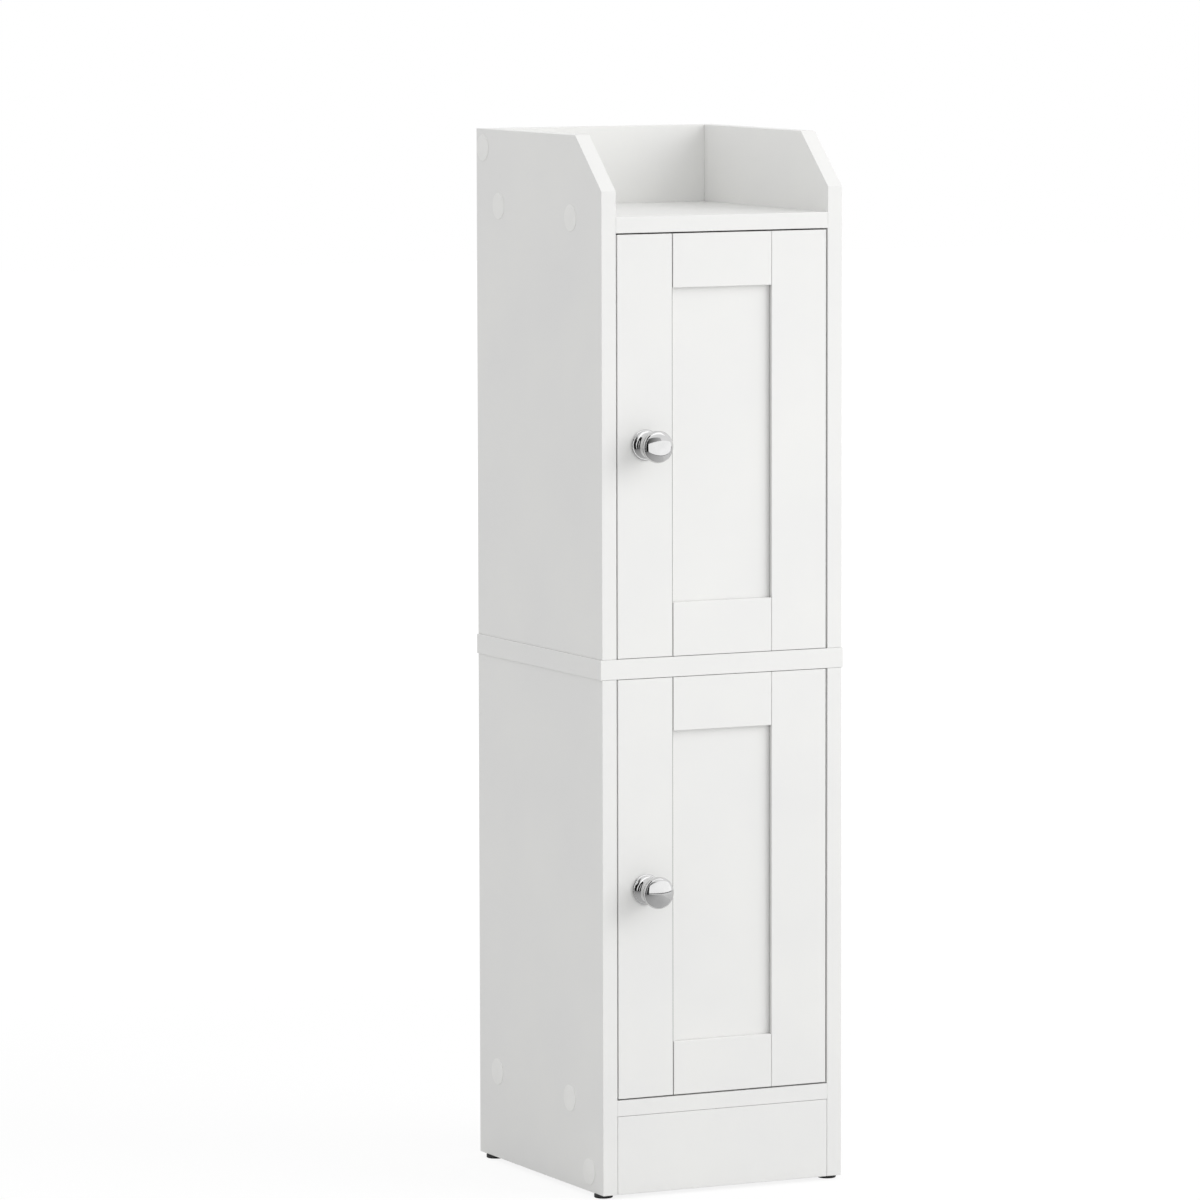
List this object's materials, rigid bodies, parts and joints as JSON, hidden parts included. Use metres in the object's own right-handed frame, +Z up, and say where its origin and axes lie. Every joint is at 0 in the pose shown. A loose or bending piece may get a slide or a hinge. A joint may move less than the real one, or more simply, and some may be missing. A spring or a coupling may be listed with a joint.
{
  "type": "narrow bathroom cabinet",
  "caption": "Narrow white bathroom cabinet with upper and lower inset framed doors, round chrome knobs, a thicker middle board and a raised gallery round the top shelf.",
  "frame": {"origin": "centre of the bounding box at floor level, knobs included", "axes": "+Z up; +X to the right of someone facing the doors; the doors face -Y"},
  "size_m": [0.2024, 0.244, 0.79],
  "materials": {
    "white_board": "satin white paint on fibreboard",
    "white_back": "matt white foil on thin fibreboard",
    "beech": "bare wood",
    "chrome": "polished chrome plate",
    "nickel_steel": "nickel plate on pressed steel",
    "zinc_steel": "zinc plate",
    "zinc_cast": "bare zinc casting",
    "magnet_steel": "plated steel",
    "white_cover": "matt white foil sticker",
    "white_plastic": "moulded white plastic",
    "dark_glide": "moulded dark plastic"
  },
  "bodies": {
    "cabinet": {"back_rail": "white_board", "bottom_shelf": "white_board", "cam_bolts": "zinc_steel", "cam_discs": "zinc_cast", "catch_housings": "white_plastic", "catch_magnets": "magnet_steel", "catch_screws": "zinc_steel", "dowels": "beech", "floor_glides": "dark_glide", "hinge_arm_screws": "zinc_steel", "hinge_arms": "nickel_steel", "hinge_plate_screws": "zinc_steel", "hinge_plates": "nickel_steel", "kick_board": "white_board", "kick_corner_blocks": "beech", "lower_back_panel": "white_back", "lower_inner_shelf": "white_board", "lower_left_side": "white_board", "lower_right_side": "white_board", "middle_board": "white_board", "screw_covers": "white_cover", "shelf_pins": "zinc_steel", "side_screws": "zinc_steel", "top_shelf": "white_board", "upper_back_panel": "white_back", "upper_inner_shelf": "white_board", "upper_left_side": "white_board", "upper_right_side": "white_board"},
    "upper_door": {"upper_cup_pins": "zinc_steel", "upper_cup_screws": "zinc_steel", "upper_door_bottom_rail": "white_board", "upper_door_left_stile": "white_board", "upper_door_panel": "white_board", "upper_door_right_stile": "white_board", "upper_door_top_rail": "white_board", "upper_hinge_cups": "nickel_steel", "upper_knob": "chrome", "upper_knob_screw": "zinc_steel", "upper_strike_plate": "magnet_steel", "upper_strike_screws": "zinc_steel"},
    "lower_door": {"lower_cup_pins": "zinc_steel", "lower_cup_screws": "zinc_steel", "lower_door_bottom_rail": "white_board", "lower_door_left_stile": "white_board", "lower_door_panel": "white_board", "lower_door_right_stile": "white_board", "lower_door_top_rail": "white_board", "lower_hinge_cups": "nickel_steel", "lower_knob": "chrome", "lower_knob_screw": "zinc_steel", "lower_strike_plate": "magnet_steel", "lower_strike_screws": "zinc_steel"}
  },
  "joints": [
    {"name": "upper_door_hinge", "type": "hinge", "parent": "cabinet", "child": "upper_door", "pos_m": [0.0658, -0.0868, 0.56115], "axis": [0, 0, 1], "range_deg": [0, 100]},
    {"name": "lower_door_hinge", "type": "hinge", "parent": "cabinet", "child": "lower_door", "pos_m": [0.0658, -0.0868, 0.23185], "axis": [0, 0, 1], "range_deg": [0, 100]}
  ]
}
